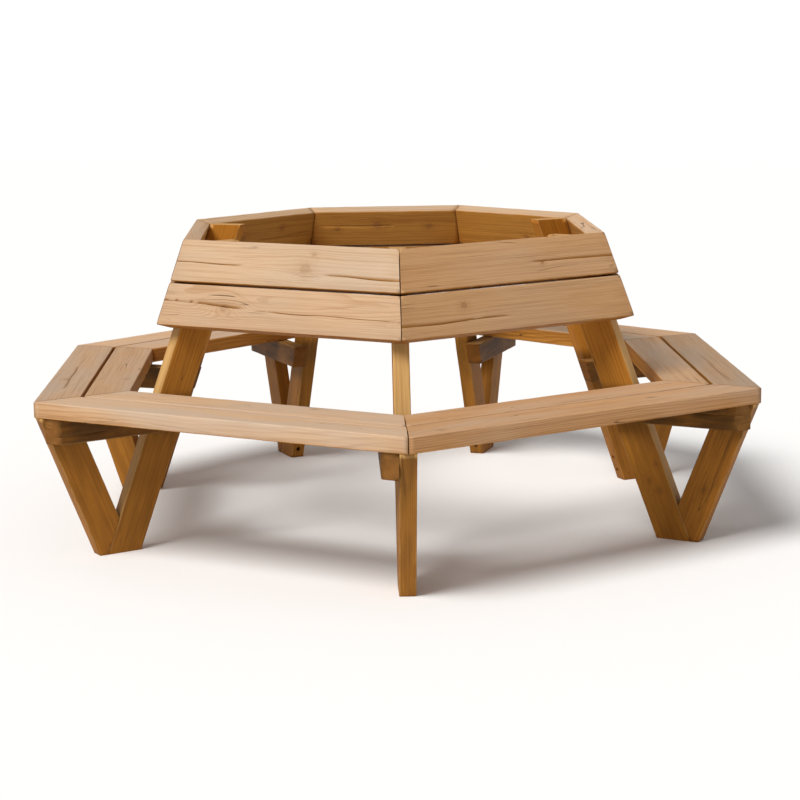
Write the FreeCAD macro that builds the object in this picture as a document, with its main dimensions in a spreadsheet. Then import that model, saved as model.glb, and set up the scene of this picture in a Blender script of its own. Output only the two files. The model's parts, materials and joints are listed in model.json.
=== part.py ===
import FreeCAD, Part
import os
import re
import Sketcher

# A seven-sided timber ring bench. The three front corners turn through 60 degrees each, like a
# hexagon's, and the four rear corners through 45 degrees each, like an octagon's. Every mitre
# plane passes through the bench's upright axis, so each leg stands in one of those planes.
# Origin: on that axis, at ground level. +Z is up and -Y is the front corner.

doc = FreeCAD.newDocument("RingBench")
dims = doc.addObject("Spreadsheet::Sheet", "dims")

DRIVING = [
    ("seat_height", 450, "ground to the top of the seat"),
    ("total_height", 860, "ground to the top edge of the backrest"),
    ("seat_inradius", 990, "axis to the seat's outer edge, square to a side"),
    ("back_inradius", 588, "axis to the backrest's top outer edge, square to a side"),
    ("back_lean", 19, "degrees the backrest leans in from upright"),
    ("board_width", 120, "seat and backrest boards"),
    ("board_thickness", 45, "seat and backrest boards"),
    ("seat_gap", 8, "between the two seat boards of a side"),
    ("back_gap", 6, "between the two backrest boards of a side"),
    ("mitre_gap", 3, "open joint between one side's boards and the next side's"),
    ("leg_width", 95, "post and strut, across the leg's plane"),
    ("leg_thickness", 45, "post and strut, square to the leg's plane"),
    ("toe_length", 24, "flat end of the strut on the ground"),
    ("strut_setback", 10, "strut's top inside the seat's corner"),
    ("bearer_height", 70, "timber beside the leg, under the seat"),
    ("bearer_thickness", 45, "timber beside the leg, under the seat"),
    ("bearer_proud", 20, "bearer's inner end past the post"),
    ("bearer_setback", 8, "bearer's outer end inside the seat's edge"),
    ("post_drop", 14, "top of a post under the backrest's top edge"),
    ("rear_post_drop", 130, "the same at the two rearmost corners"),
    ("front_half_turn", 30, "degrees, half the turn at a front corner"),
    ("rear_half_turn", 22.5, "degrees, half the turn at a rear corner"),
    ("arris_radius", 3, "rounding along the timbers' long edges"),
    ("fit_clearance", 0.3, "between sloping timbers that meet"),
    ("screw_clearance", 0.15, "round a fixing, in its hole"),
    ("tip_clearance", 1, "past a fixing's tip, in its hole"),
    ("well_clearance", 0.5, "round a sunk head, in its hole"),
    ("well_reach", 60, "a sunk head's hole, back from the head's seat"),
    ("socket_depth", 2, "six-sided socket in a screw's head"),
    ("socket_share", 0.7, "socket's corner radius over the shank's radius"),
    ("leg_screw_radius", 4, "bearer, foot and backrest screws"),
    ("leg_screw_bite", 35, "their length past the first timber"),
    ("sunk_head_radius", 7, "head of a screw sunk in a hole"),
    ("head_height", 4, "every screw's head"),
    ("bearer_screw_sink", 5, "depth of the hole for its head"),
    ("bearer_screw_spread", 25, "from the leg's middle, along the bearer"),
    ("bearer_screw_rise", 17, "from the bearer's mid height"),
    ("foot_screw_low", 30, "lower foot screw above ground"),
    ("foot_screw_high", 72, "upper foot screw above ground"),
    ("foot_screw_grip", 57, "post's timber under a foot screw's head"),
    ("back_screw_grip", 55, "post's timber under a backrest screw's head"),
    ("back_screw_offset", 8, "where a backrest screw leaves the post, from its middle"),
    ("back_screw_drop", 28, "backrest screws below a board's mid height"),
    ("back_screw_stagger", 12, "left and right screws, above and below that"),
    ("seat_screw_radius", 3, "up through a bearer"),
    ("seat_screw_sink", 25, "depth of the hole for its head"),
    ("seat_screw_bite", 30, "its length in the seat board"),
    ("seat_screw_near", 45, "from a board's outer edge to the first screw"),
    ("seat_screw_far", 95, "from a board's outer edge to the second screw"),
    ("plate_length", 90, "steel plate across a mitre, along the side"),
    ("plate_width", 50, "steel plate, outwards"),
    ("plate_thickness", 3, "steel plate"),
    ("plate_inset", 20, "plate's end on the bearer's side of the mitre"),
    ("plate_screw_radius", 2.5, "up through a plate"),
    ("plate_screw_head_radius", 5, "up through a plate"),
    ("plate_screw_length", 25, "up through a plate, past it"),
    ("plate_screw_spread", 15, "from the plate's middle, outwards"),
    ("plate_screw_near", 10, "from the mitre, on the bearer's side"),
    ("plate_screw_far", 50, "from the mitre, on the other side"),
    ("dowel_radius", 5, "in the rear mitres of the upper backrest"),
    ("dowel_length", 50, "in the rear mitres of the upper backrest"),
    ("dowel_high", 35, "below the board's top edge, along the board's face"),
    ("dowel_low", 85, "below the board's top edge, along the board's face"),
]

# Derived sizes. "K" stands for front or rear: the legs at the two kinds of corner differ.
# A leg's sizes are radii from the bench's axis, or slopes, in the leg's own upright plane.
DERIVED = [
    ("seat_underside", "seat_height - board_thickness"),
    ("board_slant", "board_thickness / cos(back_lean)"),
    ("back_foot_inradius", "back_inradius + total_height * tan(back_lean) - board_slant"),
]
DERIVED_BY_CORNER = [
    ("K_post_slope", "tan(back_lean) / cos(K_half_turn)"),
    ("K_post_span", "leg_width / cos(atan(K_post_slope))"),
    ("K_post_contact", "leg_thickness / 2 * tan(K_half_turn) + fit_clearance"),
    ("K_post_face", "back_foot_inradius / cos(K_half_turn) - K_post_contact"),
    ("K_toe", "K_post_face + toe_length"),
    ("K_strut_top", "seat_inradius / cos(K_half_turn) - strut_setback"),
    ("K_strut_slope", "(K_strut_top - K_toe) / seat_underside"),
    ("K_strut_span", "leg_width / cos(atan(K_strut_slope))"),
    ("K_seam_face", "K_post_face + fit_clearance / cos(atan(K_post_slope))"),
    ("K_crotch", "(K_seam_face - K_toe + K_strut_span) / (K_post_slope + K_strut_slope)"),
    ("K_plate_middle", "(seat_inradius - 1.5 * board_width - seat_gap) / cos(K_half_turn)"),
]


def fill_sheet():
    rows = [(name, "%g" % value, note) for name, value, note in DRIVING]
    rows += [(name, "=" + formula, "") for name, formula in DERIVED]
    for kind in ("front", "rear"):
        for name, formula in DERIVED_BY_CORNER:
            rows.append((name.replace("K_", kind + "_"), "=" + formula.replace("K_", kind + "_"), ""))
    for row, (name, content, note) in enumerate(rows, start=1):
        dims.set("A%d" % row, name)
        dims.set("B%d" % row, content)
        dims.setAlias("B%d" % row, name)
        dims.set("C%d" % row, note)
    doc.recompute()


fill_sheet()
ALIASES = {name for name, *_ in DRIVING} | {name for name, _ in DERIVED}
ALIASES |= {name.replace("K_", kind + "_") for name, _ in DERIVED_BY_CORNER for kind in ("front", "rear")}

# The corners, clockwise from above, and the side of each leg that its bearer is on: 1 is the
# side met last on that walk, -1 the side met first. The flank legs carry it on their front side.
CORNERS = ["front", "front", "rear", "rear", "rear", "rear", "front"]
BEARER_SIDES = [-1, 1, 1, 1, -1, -1, -1]
SHORT_POSTS = (3, 4)
COUNT = len(CORNERS)


def bound(formula):
    """A formula in the sheet's own words, written so that any object can use it."""
    return re.sub("[a-z_]+", lambda word: ("dims." if word[0] in ALIASES else "") + word[0], formula)


def at_corner(formula, corner):
    return formula.replace("K_", CORNERS[corner] + "_")


def half_turn(corner):
    return CORNERS[corner % COUNT] + "_half_turn"


def corner_turn(corner):
    """Degrees from +X to a corner's radius, from the turns of the corners before it."""
    turns = ["270"]
    for earlier in range(corner):
        turns += [half_turn(earlier), half_turn(earlier + 1)]
    return " - ".join(turns)


def side_turn(side):
    return corner_turn(side) + " - " + half_turn(side)


def turn_about_axis(thing, degrees):
    thing.setExpression("Placement", "placement(vector(0; 0; 0); rotation(%s; 0; 0))" % bound(degrees))


def outline_sketch(body, name, role, outlines, offset):
    """Straight-sided outlines on one of the body's own planes, every corner set by the sheet."""
    sketch = body.newObject("Sketcher::SketchObject", name)
    sketch.AttachmentSupport = (next(f for f in body.Origin.OriginFeatures if f.Role == role), [""])
    sketch.MapMode = "FlatFace"
    sketch.setExpression("AttachmentOffset.Base.z", bound(offset))
    for outline in outlines:
        first = sketch.GeometryCount
        size = len(outline)
        formulas = [[bound(text) for text in point] for point in outline]
        points = [FreeCAD.Vector(*[float(dims.evalExpression(text)) for text in pair]) for pair in formulas]
        for step in range(size):
            sketch.addGeometry(Part.LineSegment(points[step], points[(step + 1) % size]), False)
        for step in range(size):
            after = first + (step + 1) % size
            sketch.addConstraint(Sketcher.Constraint("Coincident", first + step, 2, after, 1))
            for kind, text, place in zip(("DistanceX", "DistanceY"), formulas[step], points[step]):
                tie = sketch.addConstraint(Sketcher.Constraint(kind, -1, 1, first + step, 1, place))
                sketch.setExpression("Constraints[%d]" % tie, text)
    return sketch


def add_pad(body, role, outline, offset, thickness):
    pad = body.newObject("PartDesign::Pad", body.Name + "_pad")
    pad.Profile = outline_sketch(body, body.Name + "_outline", role, [outline], offset)
    pad.setExpression("Length", bound(thickness))
    pad.Midplane = True
    doc.recompute()
    return pad


def add_upright_cut(body, solid, outlines):
    """Cut away everything above and below outlines drawn in plan."""
    cut = body.newObject("PartDesign::Pocket", body.Name + "_cut")
    cut.Profile = outline_sketch(body, body.Name + "_cut_plan", "XY_Plane", outlines, "0")
    cut.setExpression("Length", bound("4 * total_height"))
    cut.Midplane = True
    doc.recompute()
    assert cut.Shape.Volume < solid.Shape.Volume - 1, body.Name
    return cut


def ease_long_edges(body, solid, along):
    """Round the edges that run along the timber."""
    along = FreeCAD.Vector(*along).normalize()
    names = []
    for number, edge in enumerate(solid.Shape.Edges, start=1):
        run = edge.lastVertex().Point - edge.firstVertex().Point
        if abs(run.dot(along)) > 0.99999 * edge.Length:
            names.append("Edge%d" % number)
    fillet = body.newObject("PartDesign::Fillet", body.Name + "_arrises")
    fillet.Base = (solid, names)
    fillet.setExpression("Radius", bound("arris_radius"))
    doc.recompute()


def timber(name, role, outline, offset, thickness, along, upright_cuts=()):
    body = doc.addObject("PartDesign::Body", name + "_blank")
    solid = add_pad(body, role, outline, offset, thickness)
    if upright_cuts:
        solid = add_upright_cut(body, solid, upright_cuts)
    ease_long_edges(body, solid, along)
    return body


def number_of(formula):
    return float(dims.evalExpression(bound(formula)))


# Leg timbers, drawn in the leg's own plane: x outwards from the bench's axis, z up.

def post_blank(corner):
    drop = "rear_post_drop" if corner in SHORT_POSTS else "post_drop"
    top = "(total_height - %s)" % drop
    outline = [("K_post_face - K_post_span", "0"), ("K_post_face", "0"),
               ("K_post_face - K_post_slope * " + top, top),
               ("K_post_face - K_post_slope * " + top + " - K_post_span", top)]
    outline = [[at_corner(text, corner) for text in point] for point in outline]
    along = (-number_of(at_corner("K_post_slope", corner)), 0, 1)
    return timber("leg%d_post" % (corner + 1), "XZ_Plane", outline, "0", "leg_thickness", along)


def strut_blank(corner):
    outline = [("K_seam_face", "0"), ("K_toe", "0"), ("K_strut_top", "seat_underside"),
               ("K_strut_top - K_strut_span", "seat_underside"),
               ("K_seam_face - K_post_slope * K_crotch", "K_crotch")]
    outline = [[at_corner(text, corner) for text in point] for point in outline]
    along = (number_of(at_corner("K_strut_slope", corner)), 0, 1)
    return timber("leg%d_strut" % (corner + 1), "XZ_Plane", outline, "0", "leg_thickness", along)


def bearer_blank(corner):
    """The outer end is cut to the seat's edge, the inner end to the post's slope."""
    low = "(seat_underside - bearer_height)"
    inner = "K_post_face - K_post_span - bearer_proud - K_post_slope * "
    outline = [(inner + low, low), ("K_strut_top", low), ("K_strut_top", "seat_underside"),
               (inner + "seat_underside", "seat_underside")]
    side = BEARER_SIDES[corner]
    middle = "%d * (leg_thickness + bearer_thickness) / 2" % -side
    edge = "(seat_inradius - bearer_setback) / cos(K_half_turn)"
    reach = "%d * leg_width" % (2 * side)
    end = [(edge, "0"), ("K_strut_top + leg_width", "0"), ("K_strut_top + leg_width", reach),
           (edge + " - 2 * leg_width * tan(K_half_turn)", reach)]
    outline = [[at_corner(text, corner) for text in point] for point in outline]
    end = [[at_corner(text, corner) for text in point] for point in end]
    name = "leg%d_bearer" % (corner + 1)
    return timber(name, "XZ_Plane", outline, middle, "bearer_thickness", (1, 0, 0), [end])


# Boards, drawn in their side's own frame: x square to the side outwards, y along it, z up.
# A side's +y end is at the corner of the same number, its -y end at the next one clockwise.

def mitre(inradius, side, end):
    """How far along the side a board reaches at a distance from the bench's axis."""
    turn = half_turn(side if end > 0 else side + 1)
    return "%d * ((%s) * tan(%s) - mitre_gap / 2 / cos(%s))" % (end, inradius, turn, turn)


def seat_blank(side, row):
    outer = "(seat_inradius - %d * (board_width + seat_gap))" % row
    inner = outer + " - board_width"
    outline = [(outer, mitre(outer, side, 1)), (inner, mitre(inner, side, 1)),
               (inner, mitre(inner, side, -1)), (outer, mitre(outer, side, -1))]
    name = "side%d_seat_%s" % (side + 1, ("outer", "inner")[row])
    middle = "seat_height - board_thickness / 2"
    return timber(name, "XY_Plane", outline, middle, "board_thickness", (0, 1, 0))


def back_blank(side, row):
    """A board's section leans in; its ends are cut to the upright mitre planes."""
    def point(down, inwards):
        return ("back_inradius + (%s) * sin(back_lean) - (%s) * cos(back_lean)" % (down, inwards),
                "total_height - (%s) * cos(back_lean) - (%s) * sin(back_lean)" % (down, inwards))
    top = "%d * (board_width + back_gap)" % row
    bottom = top + " + board_width"
    outline = [point(top, "0"), point(bottom, "0"),
               point(bottom, "board_thickness"), point(top, "board_thickness")]
    cuts = [[("back_inradius / 2", mitre("back_inradius / 2", side, end)),
             ("seat_inradius", mitre("seat_inradius", side, end)),
             ("seat_inradius", "%d * seat_inradius" % end),
             ("back_inradius / 2", "%d * seat_inradius" % end)] for end in (1, -1)]
    name = "side%d_back_%s" % (side + 1, ("upper", "lower")[row])
    return timber(name, "XZ_Plane", outline, "0", "1.5 * seat_inradius", (0, 1, 0), cuts)


# Fixings. One pattern of each kind, along +z with its head's seat at z = 0, is placed many times.

def rod(name, radius, length, start):
    cylinder = doc.addObject("Part::Cylinder", name)
    cylinder.setExpression("Radius", bound(radius))
    cylinder.setExpression("Height", bound(length))
    cylinder.setExpression("Placement.Base.z", bound(start))
    return cylinder


def screw_pattern(name, radius, length, head_radius):
    shank = rod(name + "_shank", radius, length, "0")
    head = rod(name + "_head", head_radius, "head_height", "-head_height")
    whole = doc.addObject("Part::Fuse", name + "_whole")
    whole.Base, whole.Tool = shank, head
    socket = doc.addObject("Part::Prism", name + "_socket")
    socket.Polygon = 6
    socket.setExpression("Circumradius", bound(radius + " * socket_share"))
    socket.setExpression("Height", bound("2 * socket_depth"))
    socket.setExpression("Placement.Base.z", bound("-head_height - socket_depth"))
    screw = doc.addObject("Part::Cut", name + "_pattern")
    screw.Base, screw.Tool = whole, socket
    return screw


def hole_pattern(name, radius, length, sunk_head):
    shank = rod(name + "_bore", radius + " + screw_clearance", length + " + tip_clearance", "0")
    if not sunk_head:
        return shank
    well = rod(name + "_well", "sunk_head_radius + well_clearance", "well_reach", "-well_reach")
    hole = doc.addObject("Part::Fuse", name + "_hole")
    hole.Base, hole.Tool = shank, well
    return hole


FIXINGS = {
    "bearer_screws": ("leg_screw_radius", "leg_thickness - bearer_screw_sink + leg_screw_bite",
                      "sunk_head_radius", True),
    "foot_screws": ("leg_screw_radius", "foot_screw_grip + leg_screw_bite", "sunk_head_radius", True),
    "back_screws": ("leg_screw_radius", "back_screw_grip + leg_screw_bite", "sunk_head_radius", True),
    "seat_screws": ("seat_screw_radius", "bearer_height - seat_screw_sink + seat_screw_bite",
                    "sunk_head_radius", True),
    "plate_screws": ("plate_screw_radius", "plate_thickness + plate_screw_length",
                     "plate_screw_head_radius", False),
}
PATTERNS = {}
for kind, (radius, length, head_radius, sunk_head) in FIXINGS.items():
    PATTERNS[kind] = (screw_pattern(kind, radius, length, head_radius),
                      hole_pattern(kind, radius, length, sunk_head))
PATTERNS["mitre_dowels"] = (rod("dowel", "dowel_radius", "dowel_length", "0"),
                            rod("dowel_bore", "dowel_radius + screw_clearance",
                                "dowel_length + 2 * tip_clearance", "-tip_clearance"))
doc.recompute()


def fixing_places(corner):
    """Each fixing of a corner: kind, start point, yaw and pitch of its axis, in the leg's frame."""
    side = BEARER_SIDES[corner]
    face = "%d * (leg_thickness / 2 - bearer_screw_sink)" % -side
    places = []
    for middle in ("K_post_face - K_post_slope * %s - K_post_span / 2",
                   "K_toe + K_strut_slope * %s - K_strut_span / 2"):
        for way in (1, -1):
            high = "(seat_underside - bearer_height / 2 + %d * bearer_screw_rise)" % -way
            across = middle % "(seat_underside - bearer_height / 2)" + " + %d * bearer_screw_spread" % way
            places.append(("bearer_screws", across, face, high, 90 * side, 90))
    for high in ("foot_screw_low", "foot_screw_high"):
        across = "K_post_face - K_post_slope * %s - foot_screw_grip" % high
        places.append(("foot_screws", across, "0", high, 0, 90))
    for row in (0, 1):
        if corner in SHORT_POSTS and row == 0:
            continue
        down = "(board_width / 2 + back_screw_drop + %d * (board_width + back_gap))" % row
        middle = "total_height - %s * cos(back_lean) - board_thickness * sin(back_lean)" % down
        for way in (1, -1):
            high = "(%s + %d * back_screw_stagger)" % (middle, way)
            across = "K_post_face - K_post_slope * %s - back_screw_grip * cos(K_half_turn)" % high
            aside = "%d * (back_screw_offset - back_screw_grip * sin(K_half_turn))" % way
            places.append(("back_screws", across, aside, high, "%d * K_half_turn" % way, 90))
    for row in (0, 1):
        for inset in ("seat_screw_near", "seat_screw_far"):
            lateral = "(leg_thickness + bearer_thickness) / 2"
            edge = "(seat_inradius - %d * (board_width + seat_gap) - %s)" % (row, inset)
            across = "(%s - %s * sin(K_half_turn)) / cos(K_half_turn)" % (edge, lateral)
            high = "seat_underside - bearer_height + seat_screw_sink"
            places.append(("seat_screws", across, "%d * %s" % (side, lateral), high, 0, 0))
    for way in (1, -1):
        across = "K_plate_middle + %d * plate_screw_spread" % way
        for aside in ("%d * plate_screw_near" % side, "%d * plate_screw_far" % -side):
            places.append(("plate_screws", across, aside, "seat_underside - plate_thickness", 0, 0))
    if corner in SHORT_POSTS:
        for down in ("dowel_high", "dowel_low"):
            across = "(back_inradius + %s * sin(back_lean) - board_thickness / 2 * cos(back_lean))" % down
            high = "total_height - %s * cos(back_lean) - board_thickness / 2 * sin(back_lean)" % down
            across += " / cos(K_half_turn)"
            places.append(("mitre_dowels", across, "-dowel_length / 2", high, 90, 90))
    return [[at_corner(str(item), corner) for item in place] for place in places]


def group(name, members):
    together = doc.addObject("Part::Compound", name)
    together.Links = members
    return together


def placed(name, pattern, place):
    copy = group(name, [pattern])
    copy.setExpression("Placement", "placement(vector(%s; %s; %s); rotation(%s; %s; 0))" % tuple(
        bound(item) for item in place))
    return copy


NODES = {}
screws = {kind: [] for kind in PATTERNS}
holes = []
for corner in range(COUNT):
    found = {kind: [] for kind in PATTERNS}
    bores = []
    for number, (kind, *place) in enumerate(fixing_places(corner), start=1):
        label = "corner%d_fixing%d" % (corner + 1, number)
        found[kind].append(placed(label, PATTERNS[kind][0], place))
        bores.append(placed(label + "_bore", PATTERNS[kind][1], place))
    holes.append(bores)
    for kind, members in found.items():
        if members:
            cluster = group("corner%d_%s" % (corner + 1, kind), members)
            turn_about_axis(cluster, corner_turn(corner))
            screws[kind].append(cluster)
for kind, clusters in screws.items():
    NODES[kind] = group(kind, clusters)
doc.recompute()


def drilled(name, blank, bores, turn):
    node = doc.addObject("Part::Cut", name)
    node.Base = blank
    node.Tool = bores
    turn_about_axis(node, turn)
    NODES[name] = node
    return node


plates = []
for corner in range(COUNT):
    bores = group("corner%d_bores" % (corner + 1), holes[corner])
    for piece, blank in (("post", post_blank), ("strut", strut_blank), ("bearer", bearer_blank)):
        drilled("leg%d_%s" % (corner + 1, piece), blank(corner), bores, corner_turn(corner))
    plate = doc.addObject("Part::Box", "corner%d_plate_blank" % (corner + 1))
    plate.setExpression("Length", bound("plate_width"))
    plate.setExpression("Width", bound("plate_length"))
    plate.setExpression("Height", bound("plate_thickness"))
    start = "plate_inset - plate_length" if BEARER_SIDES[corner] > 0 else "-plate_inset"
    corner_of_plate = (at_corner("K_plate_middle - plate_width / 2", corner), start,
                       "seat_underside - plate_thickness")
    corner_of_plate = tuple(bound(text) for text in corner_of_plate)
    plate.setExpression("Placement.Base", "vector(%s; %s; %s)" % corner_of_plate)
    drilled_plate = doc.addObject("Part::Cut", "corner%d_plate" % (corner + 1))
    drilled_plate.Base, drilled_plate.Tool = plate, bores
    turn_about_axis(drilled_plate, corner_turn(corner))
    plates.append(drilled_plate)
NODES["mitre_plates"] = group("mitre_plates", plates)

for side in range(COUNT):
    ends = []
    for corner, end in ((side, 1), ((side + 1) % COUNT, -1)):
        bores = group("side%d_corner%d_bores" % (side + 1, corner + 1), holes[corner])
        turn_about_axis(bores, "%d * %s" % (end, half_turn(corner)))
        ends.append(bores)
    bores = group("side%d_bores" % (side + 1), ends)
    for row, seat_name, back_name in ((0, "outer", "upper"), (1, "inner", "lower")):
        drilled("side%d_seat_%s" % (side + 1, seat_name), seat_blank(side, row), bores, side_turn(side))
        drilled("side%d_back_%s" % (side + 1, back_name), back_blank(side, row), bores, side_turn(side))

doc.recompute()

for thing in doc.Objects:
    assert "Invalid" not in thing.State and "Error" not in thing.State, (thing.Name, thing.State)
for name, node in NODES.items():
    node.Label = name
    assert not node.Shape.isNull() and node.Shape.isValid(), name

os.makedirs("parts", exist_ok=True)
for name, node in NODES.items():
    node.Shape.exportStep("parts/%s.step" % name)
    print("%-22s solids %3d  volume %9.0f" % (name, len(node.Shape.Solids), node.Shape.Volume))
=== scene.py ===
import json
import math
import random

import bmesh
import bpy
from mathutils import Matrix, Vector, noise


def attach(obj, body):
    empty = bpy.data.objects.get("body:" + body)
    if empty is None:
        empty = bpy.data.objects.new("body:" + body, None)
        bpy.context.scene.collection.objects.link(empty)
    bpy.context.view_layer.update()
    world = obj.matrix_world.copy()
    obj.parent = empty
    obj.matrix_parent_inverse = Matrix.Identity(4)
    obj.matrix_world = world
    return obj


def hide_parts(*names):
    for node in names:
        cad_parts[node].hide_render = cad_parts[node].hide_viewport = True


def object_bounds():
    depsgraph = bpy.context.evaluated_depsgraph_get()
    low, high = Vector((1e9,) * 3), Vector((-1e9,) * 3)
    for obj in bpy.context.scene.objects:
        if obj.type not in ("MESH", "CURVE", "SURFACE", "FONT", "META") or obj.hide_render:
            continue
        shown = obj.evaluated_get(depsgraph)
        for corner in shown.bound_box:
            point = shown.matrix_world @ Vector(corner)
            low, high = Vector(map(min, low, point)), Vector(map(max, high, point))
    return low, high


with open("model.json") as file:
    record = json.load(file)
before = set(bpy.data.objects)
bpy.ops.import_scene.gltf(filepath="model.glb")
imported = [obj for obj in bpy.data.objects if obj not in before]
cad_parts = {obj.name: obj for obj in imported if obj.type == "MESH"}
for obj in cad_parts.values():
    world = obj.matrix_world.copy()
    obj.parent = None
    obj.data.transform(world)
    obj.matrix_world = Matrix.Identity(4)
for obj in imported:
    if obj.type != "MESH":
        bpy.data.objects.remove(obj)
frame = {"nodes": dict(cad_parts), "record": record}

# A ring bench of planed softwood, built round the CAD frame. Every timber is remade from its CAD
# node's own mesh: the long edges are worn, the faces cup a little, and the wood opens in drying
# checks. The wood texture reads each piece's own axes, x along its grain, so one serves them all.
# Metres, +Z up, -Y is the front corner.

CAD_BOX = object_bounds()

# ---------------------------------------------------------------- camera

CAMERA_PLACE = (-0.186, -5.890, 1.437)
CAMERA_YAW, CAMERA_PITCH, CAMERA_ROLL = (math.radians(a) for a in (2.01, -10.66, -0.77))
LENS_MM = 89.7
SENSOR_MM = 36


def add_camera():
    """Yaw is clockwise from +Y seen from above, pitch is up, roll turns the picture."""
    ahead = Vector((math.sin(CAMERA_YAW) * math.cos(CAMERA_PITCH),
                    math.cos(CAMERA_YAW) * math.cos(CAMERA_PITCH), math.sin(CAMERA_PITCH)))
    level = Vector((math.cos(CAMERA_YAW), -math.sin(CAMERA_YAW), 0))
    upright = level.cross(ahead)
    right = math.cos(CAMERA_ROLL) * level + math.sin(CAMERA_ROLL) * upright
    up = math.cos(CAMERA_ROLL) * upright - math.sin(CAMERA_ROLL) * level
    camera = bpy.data.objects.new("camera", bpy.data.cameras.new("camera"))
    bpy.context.scene.collection.objects.link(camera)
    matrix = Matrix((right, up, -ahead)).transposed().to_4x4()
    matrix.translation = Vector(CAMERA_PLACE)
    camera.matrix_world = matrix
    camera.data.lens = LENS_MM
    camera.data.sensor_width = SENSOR_MM
    bpy.context.scene.camera = camera


add_camera()

# ---------------------------------------------------------------- node helpers


class Nodes:
    """Short names for building a node tree: every call returns the new node's output socket."""

    def __init__(self, tree):
        self.tree = tree

    def new(self, kind, **settings):
        node = self.tree.nodes.new(kind)
        for name, value in settings.items():
            setattr(node, name, value)
        return node

    def feed(self, socket, value):
        if isinstance(value, bpy.types.NodeSocket):
            self.tree.links.new(value, socket)
        elif hasattr(socket, "default_value"):
            socket.default_value = value

    def math(self, operation, *values):
        node = self.new("ShaderNodeMath", operation=operation)
        for socket, value in zip(node.inputs, values):
            self.feed(socket, value)
        return node.outputs[0]

    def chain(self, operation, first, *others):
        for other in others:
            first = self.math(operation, first, other)
        return first

    def mul(self, *values):
        return self.chain("MULTIPLY", *values)

    def add(self, *values):
        return self.chain("ADD", *values)

    def sub(self, *values):
        return self.chain("SUBTRACT", *values)

    def highest(self, *values):
        return self.chain("MAXIMUM", *values)

    def size(self, value):
        return self.math("ABSOLUTE", value)

    def hypotenuse(self, a, b):
        return self.math("SQRT", self.sum_of_squares(a, b))

    def sum_of_squares(self, a, b):
        return self.add(self.math("POWER", a, 2.0), self.math("POWER", b, 2.0))

    def dot(self, a, b):
        return self.vector("DOT_PRODUCT", a, b)

    def vector(self, operation, *values):
        node = self.new("ShaderNodeVectorMath", operation=operation)
        for socket, value in zip(node.inputs, values):
            self.feed(socket, value)
        return node.outputs["Value" if operation == "DOT_PRODUCT" else 0]

    def split(self, vector):
        node = self.new("ShaderNodeSeparateXYZ")
        self.feed(node.inputs[0], vector)
        return node.outputs

    def join(self, x, y, z):
        node = self.new("ShaderNodeCombineXYZ")
        for socket, value in zip(node.inputs, (x, y, z)):
            self.feed(socket, value)
        return node.outputs[0]

    def noise(self, vector, scale, detail=2.0, roughness=0.5):
        """Noise from 0 to 1; scale is a vector of cycles per metre along each axis."""
        node = self.new("ShaderNodeTexNoise", noise_dimensions="3D")
        self.feed(node.inputs["Vector"], self.vector("MULTIPLY", vector, scale))
        node.inputs["Scale"].default_value = 1.0
        node.inputs["Detail"].default_value = detail
        node.inputs["Roughness"].default_value = roughness
        return node.outputs[0]

    def range(self, value, low, high, to_low=0.0, to_high=1.0, smooth=True):
        """0 to 1, or to_low to to_high, as the value goes from low to high, which may be the smaller."""
        node = self.new("ShaderNodeMapRange", interpolation_type="SMOOTHSTEP" if smooth else "LINEAR")
        for socket, item in zip(node.inputs, (value, low, high, to_low, to_high)):
            self.feed(socket, item)
        return node.outputs[0]

    def mix(self, factor, a, b, blend="MIX"):
        node = self.new("ShaderNodeMix", data_type="RGBA", blend_type=blend)
        self.feed(node.inputs["Factor"], factor)
        self.feed(node.inputs["A"], a)
        self.feed(node.inputs["B"], b)
        return node.outputs["Result"]


def group_input(tree, kind, name):
    return tree.interface.new_socket(name=name, in_out="INPUT", socket_type=kind)


def group_output(tree, kind, name):
    return tree.interface.new_socket(name=name, in_out="OUTPUT", socket_type=kind)


# ---------------------------------------------------------------- wood

# Colours. Down-facing and under-seat wood is deep gold, partly its sheltered colour and partly painted
# shade; faces that look up and out are pale, partly bleached by sun and rain and partly painted light.
EARLY_DEEP = (0.500, 0.215, 0.034, 1)
LATE_DEEP = (0.270, 0.095, 0.012, 1)
EARLY_PALE = (0.640, 0.435, 0.270, 1)
LATE_PALE = (0.430, 0.240, 0.115, 1)
SILVER = (0.480, 0.370, 0.275, 1)
KNOT_WOOD = (0.200, 0.080, 0.022, 1)
# The colour of the painted shade laid on the wood under the seat.
SEAT_SHADE_COLOUR = (0.090, 0.040, 0.004, 1)
CHECK_DARK = (0.060, 0.028, 0.010, 1)

# Noises: cycles per metre along the grain, across it and through the timber.
SWAY_SCALE = (1.4, 5.0, 5.0)
LIFT_SCALE = (1.8, 9.0, 9.0)
AGE_SCALE = (2.0, 60.0, 60.0)
FIBRE_SCALE = (12.0, 700.0, 700.0)
STREAK_SCALE = (2.2, 190.0, 190.0)
PATCH_SCALE = (2.2, 9.0, 9.0)
SEAT_SHADE_SCALE = (9.0, 40.0, 40.0)
GRIME_SCALE = (12.0, 40.0, 40.0)
CHAFE_SCALE = (18.0, 60.0, 60.0)
RIFT_SCALE = (1.6, 32.0, 32.0)
RIFT_PLACE_SCALE = (4.5, 14.0, 14.0)
KNOT_WOBBLE_SCALE = (110.0, 110.0, 20.0)

# Year rings, in metres.
RING_WIDTH = 0.0034
PITH_SWAY = 0.035            # how far the pith wanders across the board
PITH_LIFT = 0.025            # and through it
LIFT_OFFSET = (7.3, 1.9, 4.1)             # so that the two wanderings are not alike
EDGE_FIGURE = 1.5            # rings on a board's edges, against those on its faces

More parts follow.
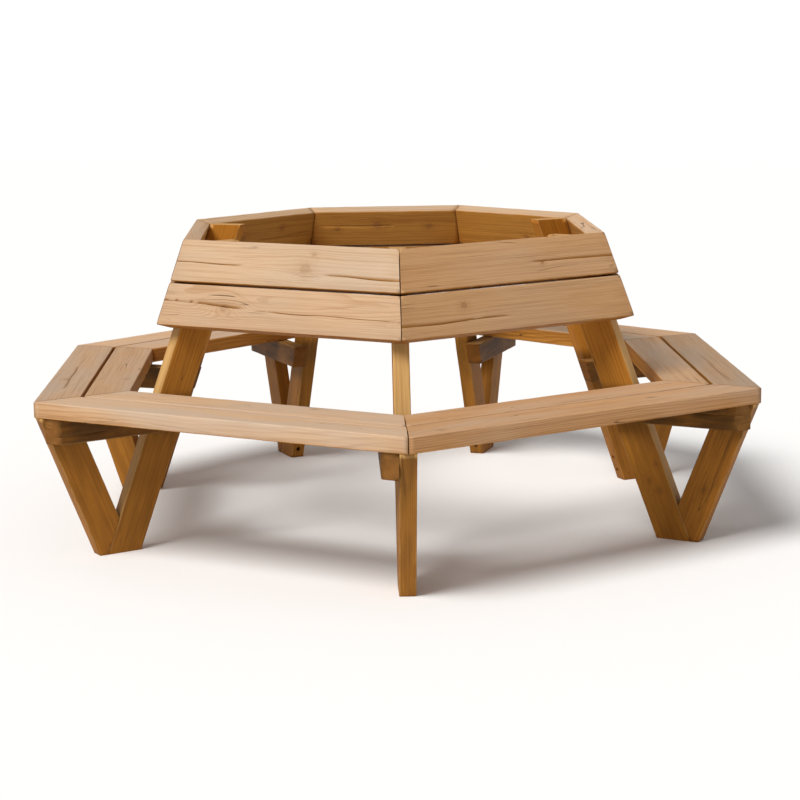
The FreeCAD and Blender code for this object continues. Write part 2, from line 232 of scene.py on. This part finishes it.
# Knots, in knot radii. Pairs run from where a thing starts to show to where it is at its full.
KNOT_REACH = (4.0, 1.9)      # how far the rings bend round a knot, along and across
KNOT_SWELL = 1.5             # how far a knot pushes the rings up
KNOT_PART = 0.45             # how much the rings part round it
KNOT_LENGTHEN = 0.8          # a knot is this much narrower across than along
KNOT_CORE = (0.90, 0.50)
KNOT_HALO = (2.6, 0.5)
KNOT_RING = 0.09             # half the spacing of its own rings

# Weather and painted light. A face's exposure is how far it looks up and outwards; it sets both its
# sun bleaching and the painted light on it.
SEAT_LEVEL = 0.405           # underside of the seat
UPWARD_WEIGHT = 0.9
OUTWARD_WEIGHT = 0.52
BLEACH_AND_LIGHT_EXPOSURE = (0.05, 0.75)
UNDERSEAT_BLEACH_AND_LIGHT = 0.85      # under the seat, against in the open: less bleaching and less painted light
SEAT_SHADE_DEPTH = 0.16            # how far below the seat the painted shade is at its strongest
SEAT_SHADE_LOW = 0.62              # how strong it still is near the ground

ARRIS_REACH = 0.006          # an arris is worn pale this far in
END_REACH = 0.07             # grime reaches this far from a timber's end


def knot_group():
    """Bends the grain round one knot, and says where the knot and its rings are.

    Knot is x, y and radius: a branch runs straight through the board's thickness."""
    tree = bpy.data.node_groups.new("wood_knot", "ShaderNodeTree")
    for name in ("Place", "Knot"):
        group_input(tree, "NodeSocketVector", name)
    group_output(tree, "NodeSocketVector", "Place")
    for name in ("Swell", "Core", "Halo"):
        group_output(tree, "NodeSocketFloat", name)
    n = Nodes(tree)
    source = n.new("NodeGroupInput").outputs
    result = n.new("NodeGroupOutput").inputs
    x, y, z = n.split(source["Place"])
    knot_x, knot_y, radius = n.split(source["Knot"])
    along = n.sub(x, knot_x)
    across = n.sub(y, knot_y)
    wobble = n.range(n.noise(source["Place"], KNOT_WOBBLE_SCALE), 0, 1, 0.5, 1.5, smooth=False)
    away = n.hypotenuse(n.mul(along, KNOT_LENGTHEN), across)
    ratio = n.math("DIVIDE", n.mul(away, wobble), radius)
    reach = n.sum_of_squares(n.math("DIVIDE", along, n.mul(radius, KNOT_REACH[0])),
                             n.math("DIVIDE", across, n.mul(radius, KNOT_REACH[1])))
    pull = n.math("EXPONENT", n.mul(reach, -1.0))
    n.feed(result["Place"], n.join(x, n.sub(y, n.mul(across, pull, KNOT_PART)), z))
    n.feed(result["Swell"], n.mul(pull, radius, KNOT_SWELL))
    rings = n.range(n.math("PINGPONG", ratio, KNOT_RING), 0, KNOT_RING, 0.35, 1.0)
    n.feed(result["Core"], n.mul(n.range(ratio, *KNOT_CORE), rings))
    n.feed(result["Halo"], n.range(ratio, *KNOT_HALO))
    return tree


def bend_round_knots(n, source, place, knot):
    """The place in the log, bent by all three knots, and each knot's swell, core and halo."""
    found = {"Swell": [], "Core": [], "Halo": []}
    for name in KNOT_INPUTS:
        node = n.new("ShaderNodeGroup", node_tree=knot)
        n.feed(node.inputs["Place"], place)
        n.feed(node.inputs["Knot"], source[name])
        place = node.outputs["Place"]
        for kind, values in found.items():
            values.append(node.outputs[kind])
    return place, n.add(*found["Swell"]), n.highest(*found["Core"]), n.highest(*found["Halo"])


def late_wood(n, source, bent, log, swell, facing):
    """The dark part of each year's ring, by the distance from a wandering pith."""
    sway = n.sub(n.noise(log, SWAY_SCALE, 2.0), 0.5)
    lift = n.sub(n.noise(n.vector("ADD", log, LIFT_OFFSET), LIFT_SCALE, 3.0), 0.5)
    x, y, z = n.split(n.vector("SUBTRACT", bent, source["Pith"]))
    radius = n.hypotenuse(n.add(y, n.mul(sway, PITH_SWAY)), n.add(z, n.mul(lift, PITH_LIFT)))
    season = n.math("FRACT", n.math("DIVIDE", n.add(radius, swell), RING_WIDTH))
    late = n.mul(n.range(season, 0.35, 0.92), n.range(season, 1.0, 0.93))
    age = n.range(n.noise(log, AGE_SCALE, 2.0), 0.30, 0.70, 0.35, 1.0)
    figure = n.range(n.size(n.dot(facing, source["Across"])), 0.6, 0.9, 1.0, EDGE_FIGURE)
    return n.mul(late, n.math("MINIMUM", n.mul(age, source["Contrast"], figure), 1.0))


def bleach_and_painted_light(n, source, spot, facing):
    """How pale a face is painted: most where it looks up and outwards, which is partly sun bleaching and
    partly painted light; less below the seat, which is partly painted shade.
    """
    x, y, z = n.split(spot)
    outwards = n.dot(facing, n.vector("NORMALIZE", n.join(x, y, 0.0)))
    exposure = n.add(n.mul(n.split(facing)[2], UPWARD_WEIGHT), n.mul(outwards, OUTWARD_WEIGHT))
    above_seat_light_and_bleach = n.range(z, SEAT_LEVEL - 0.03, SEAT_LEVEL + 0.01, UNDERSEAT_BLEACH_AND_LIGHT, 1.0)
    return n.mul(n.range(exposure, *BLEACH_AND_LIGHT_EXPOSURE), above_seat_light_and_bleach, source["Bleach"])


def painted_seat_shade(n, source, spot, log, bleach_and_light):
    """Painted shade below the seat, darkest just under it and thinner on pale faces."""
    height = n.split(spot)[2]
    under_seat = n.mul(n.range(height, SEAT_LEVEL - SEAT_SHADE_DEPTH, SEAT_LEVEL - 0.01, SEAT_SHADE_LOW, 1.0),
                       n.range(height, SEAT_LEVEL + 0.04, SEAT_LEVEL))
    uneven = n.range(n.noise(log, SEAT_SHADE_SCALE, 3.0), 0.25, 0.65, 0.6, 1.0)
    return n.mul(under_seat, uneven, source["Soiling"], n.range(bleach_and_light, 0, 1, 1.0, 0.35))


def hairline_checks(n, log):
    """Contour lines of a noise that is long along the grain, in a few places."""
    rift = n.size(n.sub(n.noise(log, RIFT_SCALE, 1.0), 0.5))
    where = n.range(n.noise(log, RIFT_PLACE_SCALE, 1.0), 0.56, 0.64)
    return n.mul(n.range(rift, 0.0075, 0.001), where, 0.75)


def worn_arrises(n, source, place, log):
    x, y, z = n.split(place)
    half_x, half_y, half_z = n.split(source["Half size"])
    from_side = n.highest(n.sub(half_y, n.size(y)), 0.0)
    from_face = n.highest(n.sub(half_z, n.size(z)), 0.0)
    chafe = n.range(n.noise(log, CHAFE_SCALE, 3.0), 0.35, 0.65)
    return n.mul(n.range(n.add(from_side, from_face), ARRIS_REACH, 0.001), chafe)


def grimy_ends(n, source, place, log):
    from_end = n.sub(n.split(source["Half size"])[0], n.size(n.split(place)[0]))
    return n.mul(n.range(from_end, END_REACH, 0.0), n.range(n.noise(log, GRIME_SCALE), 0.35, 0.75))


KNOT_INPUTS = ("Knot 1", "Knot 2", "Knot 3")
VECTOR_INPUTS = ("Log", "Pith", "Along", "Across", "Through", "Middle", "Half size") + KNOT_INPUTS
FLOAT_INPUTS = ("Contrast", "Bleach", "Silver", "Soiling")


def timber_group(knot):
    """The look of one piece of planed softwood, from its own axes."""
    tree = bpy.data.node_groups.new("wood_timber", "ShaderNodeTree")
    for name in VECTOR_INPUTS:
        group_input(tree, "NodeSocketVector", name)
    for name in FLOAT_INPUTS:
        group_input(tree, "NodeSocketFloat", name)
    group_input(tree, "NodeSocketColor", "Tint")
    group_output(tree, "NodeSocketColor", "Color")
    for name in ("Roughness", "Height"):
        group_output(tree, "NodeSocketFloat", name)
    n = Nodes(tree)
    source = n.new("NodeGroupInput").outputs
    result = n.new("NodeGroupOutput").inputs
    spot = n.new("ShaderNodeTexCoord").outputs["Object"]
    facing = n.new("ShaderNodeTexCoord").outputs["Normal"]
    own_axes = n.join(*(n.dot(spot, source[name]) for name in ("Along", "Across", "Through")))
    place = n.vector("SUBTRACT", own_axes, source["Middle"])
    bent, swell, core, halo = bend_round_knots(n, source, place, knot)
    log = n.vector("ADD", bent, source["Log"])

    late = late_wood(n, source, bent, log, swell, facing)
    # Pale on faces that look up and out, deep gold under the seat: sun bleaching with painted light, and
    # sheltered wood with painted shade.
    bleach_and_light = bleach_and_painted_light(n, source, spot, facing)
    dark = n.mix(bleach_and_light, LATE_DEEP, LATE_PALE)
    colour = n.mix(late, n.mix(bleach_and_light, EARLY_DEEP, EARLY_PALE), dark)
    streak = n.noise(log, STREAK_SCALE, 4.0, 0.65)
    colour = n.mix(n.range(streak, 0.42, 0.72, 0.0, 0.75), colour, dark)
    fibre = n.noise(log, FIBRE_SCALE, 3.0, 0.6)
    colour = n.mix(n.range(fibre, 0.35, 0.70, 0.0, 0.30), colour, dark)
    patch = n.range(n.noise(log, PATCH_SCALE, 2.0), 0.35, 0.70)
    colour = n.mix(n.mul(patch, source["Silver"], bleach_and_light), colour, SILVER)
    colour = n.mix(n.mul(halo, 0.30), colour, dark)
    colour = n.mix(n.mul(core, n.range(bleach_and_light, 0, 1, 0.70, 0.32)), colour, KNOT_WOOD)
    # Painted shade: the wood just under the seat is darkened, where shade falls.
    colour = n.mix(painted_seat_shade(n, source, spot, log, bleach_and_light), colour, SEAT_SHADE_COLOUR)
    check = hairline_checks(n, log)
    colour = n.mix(check, colour, CHECK_DARK)

    # End grain is darker, long arrises are worn paler, ends collect a little dirt.
    end = n.range(n.size(n.dot(facing, source["Along"])), 0.55, 0.85)
    colour = n.mix(n.mul(end, 0.45), colour, dark)
    colour = n.mix(n.mul(worn_arrises(n, source, place, log), 0.35), colour, EARLY_PALE)
    colour = n.mix(n.mul(grimy_ends(n, source, place, log), 0.30), colour, dark)
    n.feed(result["Color"], n.mix(1.0, colour, source["Tint"], "MULTIPLY"))

    rough = n.range(fibre, 0.2, 0.8, 0.58, 0.74)
    n.feed(result["Roughness"], n.add(rough, n.mul(late, -0.08), n.mul(end, 0.12)))
    relief = n.add(n.mul(late, 0.5), n.mul(fibre, 0.45))
    n.feed(result["Height"], n.sub(relief, n.mul(check, 2.5), n.mul(core, 0.4)))
    return tree


WOOD = timber_group(knot_group())
NO_KNOT = (9.0, 9.0, 0.001)  # metres away from any timber
GLOSS = 0.20
BUMP_STRENGTH = 0.55
BUMP_DEPTH = 0.0007


def wood_material(name, knots=(), **values):
    """Values are the timber group's inputs, by name with underscores for spaces."""
    material = bpy.data.materials.new(name)
    material.use_nodes = True
    n = Nodes(material.node_tree)
    shader = material.node_tree.nodes["Principled BSDF"]
    timber = n.new("ShaderNodeGroup", node_tree=WOOD)
    for number, knot_input in enumerate(KNOT_INPUTS):
        timber.inputs[knot_input].default_value = knots[number] if number < len(knots) else NO_KNOT
    for key, value in values.items():
        timber.inputs[key.replace("_", " ")].default_value = value
    bump = n.new("ShaderNodeBump")
    bump.inputs["Strength"].default_value = BUMP_STRENGTH
    bump.inputs["Distance"].default_value = BUMP_DEPTH
    n.feed(bump.inputs["Height"], timber.outputs["Height"])
    n.feed(shader.inputs["Base Color"], timber.outputs["Color"])
    n.feed(shader.inputs["Roughness"], timber.outputs["Roughness"])
    n.feed(shader.inputs["Normal"], bump.outputs["Normal"])
    shader.inputs["Specular IOR Level"].default_value = GLOSS
    return material


# ---------------------------------------------------------------- timbers

# The bench's own driving sizes, as far as the grain's directions need them.
FRONT_HALF_TURN = math.radians(30)
REAR_HALF_TURN = math.radians(22.5)
BACK_LEAN = math.radians(19)
SEAT_INRADIUS = 0.990
BACK_INRADIUS = 0.588
TOTAL_HEIGHT = 0.860
THICKNESS = 0.045            # of every timber
TOE_LENGTH = 0.024
STRUT_SETBACK = 0.010
FIT_CLEARANCE = 0.0003

GRID = 0.016                 # spacing of the cuts that give the faces points to move
FACE_KEEP = math.radians(35) # a sharper turn than this between two faces stays a hard edge
TINY = 1e-6                  # metres, closer than any two points of a timber


def corner_angles():
    """Each corner's direction from the axis, clockwise from -Y, and half the turn there."""
    halves = [FRONT_HALF_TURN] * 2 + [REAR_HALF_TURN] * 4 + [FRONT_HALF_TURN]
    angles = [0.0]
    for before, after in zip(halves, halves[1:]):
        angles.append(angles[-1] + before + after)
    return angles, halves


ANGLES, HALVES = corner_angles()


def leg_slopes(half_turn):
    """How far a post leans in and a strut leans out, per metre of height."""
    post = math.tan(BACK_LEAN) / math.cos(half_turn)
    back_foot = BACK_INRADIUS + TOTAL_HEIGHT * math.tan(BACK_LEAN) - THICKNESS / math.cos(BACK_LEAN)
    contact = THICKNESS / 2 * math.tan(half_turn) + FIT_CLEARANCE
    toe = back_foot / math.cos(half_turn) - contact + TOE_LENGTH
    strut_top = SEAT_INRADIUS / math.cos(half_turn) - STRUT_SETBACK
    return {"post": -post, "strut": (strut_top - toe) / SEAT_LEVEL}


def outward(angle):
    return Vector((-math.sin(angle), -math.cos(angle), 0))


def grain_axes(name):
    """Unit vectors along the grain, across the wide face and through the thickness."""
    number = int(name.removeprefix("leg").removeprefix("side")[0]) - 1
    if name.startswith("side"):
        angle = ANGLES[number] + HALVES[number]
        along = outward(angle + math.pi / 2)
        if "seat" in name:
            through = Vector((0, 0, 1))
        else:
            through = math.cos(BACK_LEAN) * outward(angle) + Vector((0, 0, math.sin(BACK_LEAN)))
        return along, through.cross(along), through
    radial = outward(ANGLES[number])
    through = Vector((0, 0, 1)).cross(radial)
    if name.endswith("bearer"):
        along = radial
    else:
        slope = leg_slopes(HALVES[number])[name.rsplit("_", 1)[1]]
        along = (radial * slope + Vector((0, 0, 1))).normalized()
    return along, through.cross(along), through


def cut(mesh_bm, spot, normal):
    everything = mesh_bm.verts[:] + mesh_bm.edges[:] + mesh_bm.faces[:]
    bmesh.ops.bisect_plane(mesh_bm, geom=everything, dist=TINY, plane_co=spot, plane_no=normal)


def cut_grid(mesh_bm, half):
    """Cut across the grain and along it, so that a long flat face has points to move."""
    for axis in (0, 1):
        normal = Vector([float(i == axis) for i in range(3)])
        count = max(1, round(2 * half[axis] / GRID))
        for step in range(1, count):
            cut(mesh_bm, normal * half[axis] * (2 * step / count - 1), normal)


WEAR = 0.0011                # most that an arris or a face is worn in
EVEN_WEAR = 0.35             # the share of that which may come off anywhere
ARRIS_WIDTH = 0.007          # how far from the arris its wear reaches
SURFACE = 0.004              # a point nearer than this to a face moves with it
BROAD_SCALE = (2.2, 9, 9)
FINE_SCALE = (28, 34, 34)


def noise_at(point, scale, offset):
    return noise.noise(Vector([p * s for p, s in zip(point, scale)]) + offset)


def wear(mesh_bm, half, seed):
    """Move points inwards: faces dish a little, arrises are rubbed irregularly."""
    offset = Vector((seed * 3.7, seed * 1.3, seed * 2.9))
    moves = []
    for vert in mesh_bm.verts:
        x, y, z = vert.co
        to_side = half[1] - abs(y)
        to_face = half[2] - abs(z)
        dish = EVEN_WEAR * (0.5 + 0.5 * noise_at(vert.co, BROAD_SCALE, offset))
        rub = EVEN_WEAR + (1 - EVEN_WEAR) * max(0.0, noise_at(vert.co, FINE_SCALE, offset) + 0.2)
        arris = max(0.0, 1 - (to_side + to_face) / ARRIS_WIDTH)
        inward = Vector((0, -y / half[1] if to_side < SURFACE else 0,
                         -z / half[2] if to_face < SURFACE else 0))
        moves.append(inward * WEAR * min(1.0, dish + arris * rub))
    for vert, move in zip(mesh_bm.verts, moves):
        vert.co += move


CRACK_WIDTH = 0.0014
CRACK_DEPTH = 0.005
CRACK_WANDER = 0.005         # how far a crack strays from its straight line
CRACK_PULL = 0.022           # how far to the side its straying carries the face's points
ON_FACE = 1e-4
ON_LINE = 1e-5

# Drying checks of a piece. Across and slope are shares of its half width, start and stop shares of its
# half length, so a check past 1 runs out at the end. Face is 1 for the face at +z, -1 for the other.
CRACKS = {
    "side1_back_lower": [(0.08, -0.18, -1.05, 0.20, 1), (0.02, -0.16, 0.30, 1.05, 1)],
    "side1_back_upper": [(0.30, -0.16, -0.98, -0.35, 1), (0.16, -0.12, 0.40, 1.05, 1)],
    "side7_back_upper": [(0.10, -0.12, -1.05, -0.20, 1)],
    "side7_back_lower": [(0.35, 0.10, 0.10, 1.05, 1)],
    "side1_seat_outer": [(-0.30, 0.08, -1.02, -0.35, 1)],
    "side7_seat_outer": [(0.25, -0.08, 0.30, 1.02, 1)],
    "side2_seat_outer": [(0.05, 0.05, -0.60, 0.20, 1)],
    "side6_seat_outer": [(-0.10, 0.06, -0.20, 0.75, 1)],
    "side4_back_upper": [(-0.15, 0.10, -0.80, 0.10, -1)],
    "side3_back_upper": [(0.20, -0.10, 0.00, 0.90, -1)],
    "leg2_bearer": [(0.30, 0.10, 0.30, 1.03, 1), (-0.20, -0.06, 0.10, 1.03, -1)],
    "leg7_bearer": [(0.25, 0.10, 0.30, 1.03, 1), (-0.15, -0.05, 0.20, 1.03, -1)],
    "leg1_post": [(0.10, 0.06, -0.30, 0.50, 1)],
    "leg7_post": [(-0.20, 0.08, -0.10, 0.60, 1)],
}


def crack(mesh_bm, half, across, slope, start, stop, face):
    """Open one drying check: a V groove that runs nearly along the grain and wanders a little."""
    middle = Vector((0, across * half[1], 0))
    normal = Vector((-slope * half[1] / half[0], 1, 0)).normalized()
    for offset in (-CRACK_WIDTH / 2, 0, CRACK_WIDTH / 2):
        cut(mesh_bm, middle + normal * offset, normal)
    for vert in mesh_bm.verts:
        to_side = half[1] - SURFACE - abs(vert.co.y)
        if face * vert.co.z < half[2] - ON_FACE or to_side < 0:
            continue
        from_line = (vert.co - middle).dot(normal)
        stray = noise.noise(Vector((vert.co.x * 7, middle.y * 90, start * 5)))
        share = (vert.co.x / half[0] - start) / (stop - start)
        if abs(from_line) < ON_LINE and 0 < share < 1:
            vert.co.z -= face * CRACK_DEPTH * math.sin(math.pi * share) ** 0.4
        carried = math.exp(-(from_line / CRACK_PULL) ** 2) * min(1.0, to_side / CRACK_PULL)
        vert.co.y += CRACK_WANDER * stray * carried


def make_timber(name, seed):
    """A worn copy of a CAD timber, and what its wood has to know about its axes."""
    source = frame["nodes"][name]
    along, across, through = grain_axes(name)
    turn = Matrix((along, across, through))
    points = [turn @ v.co for v in source.data.vertices]
    low = Vector([min(p[i] for p in points) for i in range(3)])
    high = Vector([max(p[i] for p in points) for i in range(3)])
    middle, half = (low + high) / 2, (high - low) / 2
    bm = bmesh.new()
    bm.from_mesh(source.data)
    for vert in bm.verts:
        vert.co = turn @ vert.co - middle
    bmesh.ops.remove_doubles(bm, verts=bm.verts[:], dist=TINY)
    cut_grid(bm, half)
    for check in CRACKS.get(name, []):
        crack(bm, half, *check)
    wear(bm, half, seed)
    back = turn.transposed()
    for vert in bm.verts:
        vert.co = back @ (vert.co + middle)
    bmesh.ops.triangulate(bm, faces=[f for f in bm.faces if len(f.verts) > 4])
    mesh = bpy.data.meshes.new(name + "_timber")
    bm.to_mesh(mesh)
    bm.free()
    for polygon in mesh.polygons:
        polygon.use_smooth = True
    mesh.set_sharp_from_angle(angle=FACE_KEEP)
    piece = bpy.data.objects.new(name + "_timber", mesh)
    bpy.context.scene.collection.objects.link(piece)
    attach(piece, "root")
    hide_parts(name)
    return piece, {"Along": along, "Across": across, "Through": through, "Middle": middle, "Half_size": half}


SLOTS = {row["node"]: row["material_slot"] for row in frame["record"]["subparts"]}
TIMBERS = sorted(name for name in frame["nodes"] if name.startswith(("leg", "side")))

# Each kind of timber: tint, how strongly the rings show, how far its open faces are made pale by sun
# bleaching and painted light, how much of that has gone silvery, and its painted shade under the seat.
LOOKS = {
    "seat_wood": ((0.96, 0.96, 0.98), 0.50, 0.92, 0.80, 0.0),
    "back_wood": ((0.95, 0.98, 1.02), 0.62, 0.88, 0.40, 0.0),
    "leg_wood": ((1.00, 0.93, 0.58), 0.45, 0.85, 0.00, 0.80),
    # The bearers' darker tint is painted shade, for the deep shade they sit in under the seat.
    "bearer_wood": ((0.72, 0.66, 0.40), 0.60, 0.50, 0.00, 1.0),
}

# Sides whose boards have kept more of their gold than the rest.
BLEACH_BY_SIDE = {"side7_back": 0.50, "side7_seat": 0.60, "side6_seat": 0.80, "side2_seat": 0.85}

# Boards that are darker than the rest.
SHADE_BY_BOARD = {"side2_seat_outer": 0.84, "side2_seat_inner": 0.84, "side6_seat_outer": 0.76,
                  "side6_seat_inner": 0.92, "side1_back_lower": 0.94}

# Knots that show: along and across the piece as shares of its half size, and radius.
KNOTS = {
    "side1_back_upper": [(-0.18, 0.12, 0.019), (-0.24, -0.45, 0.008)],
    "side1_back_lower": [(0.45, 0.02, 0.015)],
    "side7_back_upper": [(-0.30, 0.20, 0.007)],
    "side7_back_lower": [(0.45, -0.30, 0.011)],
    "leg7_post": [(-0.66, 0.25, 0.012), (-0.58, -0.10, 0.010), (-0.50, 0.60, 0.007)],
    "leg7_strut": [(-0.30, 0.10, 0.010)],
    "leg2_post": [(-0.20, -0.20, 0.009)],
    "side7_seat_outer": [(0.80, 0.50, 0.010)],
    "side2_seat_outer": [(-0.30, 0.25, 0.010)],
    "side3_back_upper": [(-0.30, 0.10, 0.014), (0.35, -0.30, 0.010)],
    "side4_back_upper": [(-0.10, -0.20, 0.015), (0.55, -0.10, 0.013), (-0.60, 0.0, 0.010)],
    "side5_back_upper": [(0.20, 0.25, 0.012)],
}

SMALL_KNOT_CHANCE = 0.35     # of a timber that has no knot in the list above
SMALL_KNOT_RADIUS = (0.006, 0.010)
PITH_ASIDE = (0.03, 0.15)    # from the middle of the timber, across it
PITH_BELOW = (0.05, 0.07, 0.10)           # and through it

chance = random.Random(417)
for seed, name in enumerate(TIMBERS):
    piece, axes = make_timber(name, seed)
    half = axes["Half_size"]
    tint, contrast, bleach_and_light, silver, painted_seat_shade = LOOKS[SLOTS[name]]
    bleach_and_light *= BLEACH_BY_SIDE.get(name.rsplit("_", 1)[0], 1.0)
    shade = chance.uniform(0.95, 1.05) * SHADE_BY_BOARD.get(name, 1.0)
    warmth = chance.uniform(-0.03, 0.03)
    tint = (tint[0] * shade * (1 + warmth), tint[1] * shade, tint[2] * shade * (1 - warmth), 1)
    log = (chance.uniform(0, 40), chance.uniform(0, 40), chance.uniform(0, 40))
    pith = (0, chance.choice((-1, 1)) * chance.uniform(*PITH_ASIDE),
            chance.choice((-1, 1)) * chance.choice(PITH_BELOW))
    knots = [(u * half.x, v * half.y, r) for u, v, r in KNOTS.get(name, [])]
    if not knots and chance.random() < SMALL_KNOT_CHANCE:
        knots = [(chance.uniform(-0.8, 0.8) * half.x, chance.uniform(-0.7, 0.7) * half.y,
                  chance.uniform(*SMALL_KNOT_RADIUS))]
    wood = wood_material(name + "_wood", knots, Log=log, Pith=pith, Tint=tint, Contrast=contrast,
                         Bleach=bleach_and_light, Silver=silver, Soiling=painted_seat_shade, **axes)
    piece.data.materials.append(wood)

# ---------------------------------------------------------------- fixings


BRIGHT_ZINC = (0.60, 0.60, 0.58, 1)
DULL_ZINC = (0.42, 0.42, 0.41, 1)
OLD_ZINC = (0.30, 0.27, 0.24, 1)


def steel_material():
    material = bpy.data.materials.new("zinc_steel")
    material.use_nodes = True
    n = Nodes(material.node_tree)
    shader = material.node_tree.nodes["Principled BSDF"]
    place = n.new("ShaderNodeTexCoord").outputs["Object"]
    spangle = n.noise(place, (160, 160, 160), 4.0, 0.7)
    dull = n.noise(place, (35, 35, 35), 3.0)
    colour = n.mix(n.range(spangle, 0.35, 0.65), DULL_ZINC, BRIGHT_ZINC)
    n.feed(shader.inputs["Base Color"], n.mix(n.range(dull, 0.45, 0.75, 0, 0.5), colour, OLD_ZINC))
    n.feed(shader.inputs["Roughness"], n.range(dull, 0.3, 0.7, 0.38, 0.62))
    shader.inputs["Metallic"].default_value = 0.9
    bump = n.new("ShaderNodeBump")
    bump.inputs["Strength"].default_value = 0.3
    bump.inputs["Distance"].default_value = 0.0003
    n.feed(bump.inputs["Height"], spangle)
    n.feed(shader.inputs["Normal"], bump.outputs["Normal"])
    return material


STEEL = steel_material()
for name, node in frame["nodes"].items():
    if name in TIMBERS:
        continue
    node.data.materials.clear()
    if SLOTS[name] == "dowel_wood":
        node.data.materials.append(wood_material(
            "dowel_wood", Log=(5, 6, 7), Pith=(0, 0, -0.03), Tint=(1, 1, 1, 1), Contrast=0.5, Bleach=0.4,
            Silver=0.0, Soiling=0.0, Along=(1, 0, 0), Across=(0, 1, 0), Through=(0, 0, 1), Middle=(0, 0, 0),
            Half_size=(1, 1, 1)))
    else:
        node.data.materials.append(STEEL)

# ---------------------------------------------------------------- studio

FLOOR_RADIUS = 30            # flat this far, then it turns up all round like a studio cove
COVE_RISE = 9
COVE_TURN = math.radians(80)
COVE_STEPS = 24
FLOOR_DROP = 0.0005          # below the feet, so that no two faces coincide
FLOOR_GREY = 0.84
FLOOR_SIDES = 96
KEY_STRENGTH = 3.4
KEY_AZIMUTH, KEY_HEIGHT, KEY_BREADTH = (math.radians(a) for a in (48, 52, 30))
SKY_STRENGTH = 0.36


def add_floor():
    """A pale floor that turns up into a pale wall all round, so that no horizon shows."""
    profile = [(FLOOR_RADIUS, 0.0)]
    for step in range(1, COVE_STEPS + 1):
        angle = COVE_TURN * step / COVE_STEPS
        profile.append((FLOOR_RADIUS + COVE_RISE * math.sin(angle), COVE_RISE * (1 - math.cos(angle))))
    bm = bmesh.new()
    rings = []
    for radius, height in profile:
        turns = [2 * math.pi * side / FLOOR_SIDES for side in range(FLOOR_SIDES)]
        rings.append([bm.verts.new((radius * math.cos(t), radius * math.sin(t), height)) for t in turns])
    bm.faces.new(rings[0])
    for lower, upper in zip(rings, rings[1:]):
        for side in range(FLOOR_SIDES):
            after = (side + 1) % FLOOR_SIDES
            bm.faces.new((lower[side], upper[side], upper[after], lower[after]))
    mesh = bpy.data.meshes.new("floor")
    bm.to_mesh(mesh)
    bm.free()
    for polygon in mesh.polygons:
        polygon.use_smooth = len(polygon.vertices) == 4
    floor = bpy.data.objects.new("floor", mesh)
    bpy.context.scene.collection.objects.link(floor)
    floor.location.z = CAD_BOX[0].z - FLOOR_DROP
    material = bpy.data.materials.new("floor")
    material.use_nodes = True
    shader = material.node_tree.nodes["Principled BSDF"]
    shader.inputs["Base Color"].default_value = (FLOOR_GREY, FLOOR_GREY, FLOOR_GREY, 1)
    shader.inputs["Roughness"].default_value = 0.9
    mesh.materials.append(material)


def add_key_light():
    """A broad high light from the left of the front, like a bright overcast sky."""
    light = bpy.data.objects.new("key", bpy.data.lights.new("key", "SUN"))
    bpy.context.scene.collection.objects.link(light)
    light.data.energy = KEY_STRENGTH
    light.data.angle = KEY_BREADTH
    light.data.color = (1.0, 0.985, 0.96)
    light.rotation_mode = "QUATERNION"
    towards = math.cos(KEY_HEIGHT) * outward(KEY_AZIMUTH) + Vector((0, 0, math.sin(KEY_HEIGHT)))
    light.rotation_quaternion = towards.to_track_quat("Z", "Y")


def add_world():
    world = bpy.data.worlds.new("studio")
    world.use_nodes = True
    background = world.node_tree.nodes["Background"]
    background.inputs["Color"].default_value = (1.0, 1.0, 1.0, 1)
    background.inputs["Strength"].default_value = SKY_STRENGTH
    bpy.context.scene.world = world


add_floor()
add_world()
add_key_light()
bpy.context.scene.view_settings.view_transform = "Standard"
